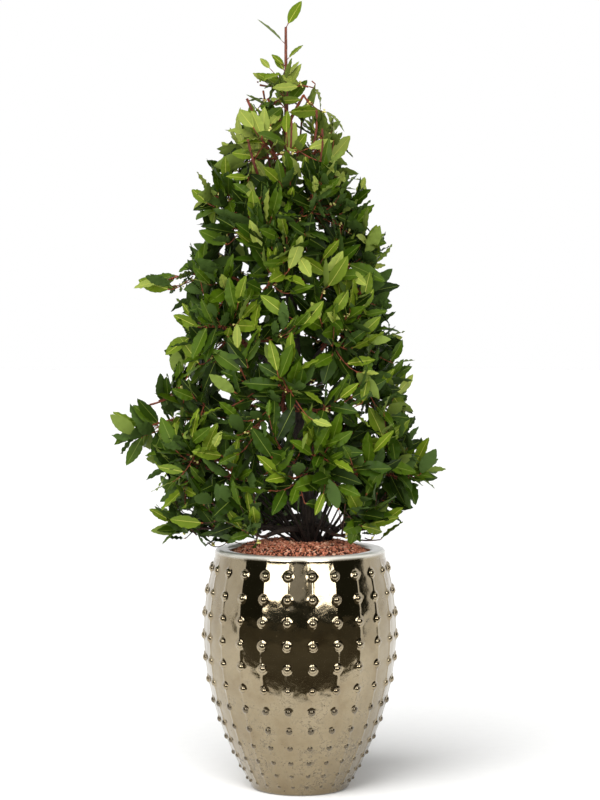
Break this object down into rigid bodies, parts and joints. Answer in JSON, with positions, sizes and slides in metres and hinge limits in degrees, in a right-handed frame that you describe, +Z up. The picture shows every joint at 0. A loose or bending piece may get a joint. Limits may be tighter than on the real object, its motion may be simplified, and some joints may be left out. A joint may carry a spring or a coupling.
{
  "type": "bay tree topiary in pot",
  "caption": "Bay tree trained as a cone with a bare leader, open at the foot, planted in a barrel-shaped studded pot with a mulch of grit.",
  "frame": {"origin": "centre of the pot's flat underside, on the ground", "axes": "+Z up along the tree, -Y is the front, +X is to the right seen from the front"},
  "size_m": [0.744, 0.6136, 1.7381],
  "materials": {
    "glaze": "mirror-bright champagne metallic glaze",
    "grit": "matt red-brown baked clay granules",
    "bark": "matt grey-brown bark",
    "foliage": "satin dark green leaves"
  },
  "bodies": {
    "root": {"pot": "glaze", "grit": "grit", "trunk": "bark", "bough_1_1": "bark", "bough_1_2": "bark", "bough_1_3": "bark", "bough_1_4": "bark", "bough_1_5": "bark", "bough_2_1": "bark", "bough_2_2": "bark", "bough_2_3": "bark", "bough_2_4": "bark", "bough_2_5": "bark", "bough_3_1": "bark", "bough_3_2": "bark", "bough_3_3": "bark", "bough_3_4": "bark", "bough_4_1": "bark", "bough_4_2": "bark", "bough_4_3": "bark", "bough_4_4": "bark", "bough_5_1": "bark", "bough_5_2": "bark", "bough_5_3": "bark", "bough_5_4": "bark", "foliage_1_1": "foliage", "foliage_1_2": "foliage", "foliage_1_3": "foliage", "foliage_1_4": "foliage", "foliage_1_5": "foliage", "foliage_2_1": "foliage", "foliage_2_2": "foliage", "foliage_2_3": "foliage", "foliage_2_4": "foliage", "foliage_2_5": "foliage", "foliage_3_1": "foliage", "foliage_3_2": "foliage", "foliage_3_3": "foliage", "foliage_3_4": "foliage", "foliage_4_1": "foliage", "foliage_4_2": "foliage", "foliage_4_3": "foliage", "foliage_4_4": "foliage", "foliage_5_1": "foliage", "foliage_5_2": "foliage", "foliage_5_3": "foliage", "foliage_5_4": "foliage", "foliage_6_1": "foliage", "foliage_6_2": "foliage", "foliage_6_3": "foliage", "foliage_7_1": "foliage", "foliage_7_2": "foliage", "foliage_7_3": "foliage", "foliage_8_1": "foliage", "foliage_8_2": "foliage", "leader_spray_1": "foliage", "leader_spray_2": "foliage", "leader_spray_3": "foliage", "leader_tip_leaf": "foliage"}
  },
  "joints": []
}
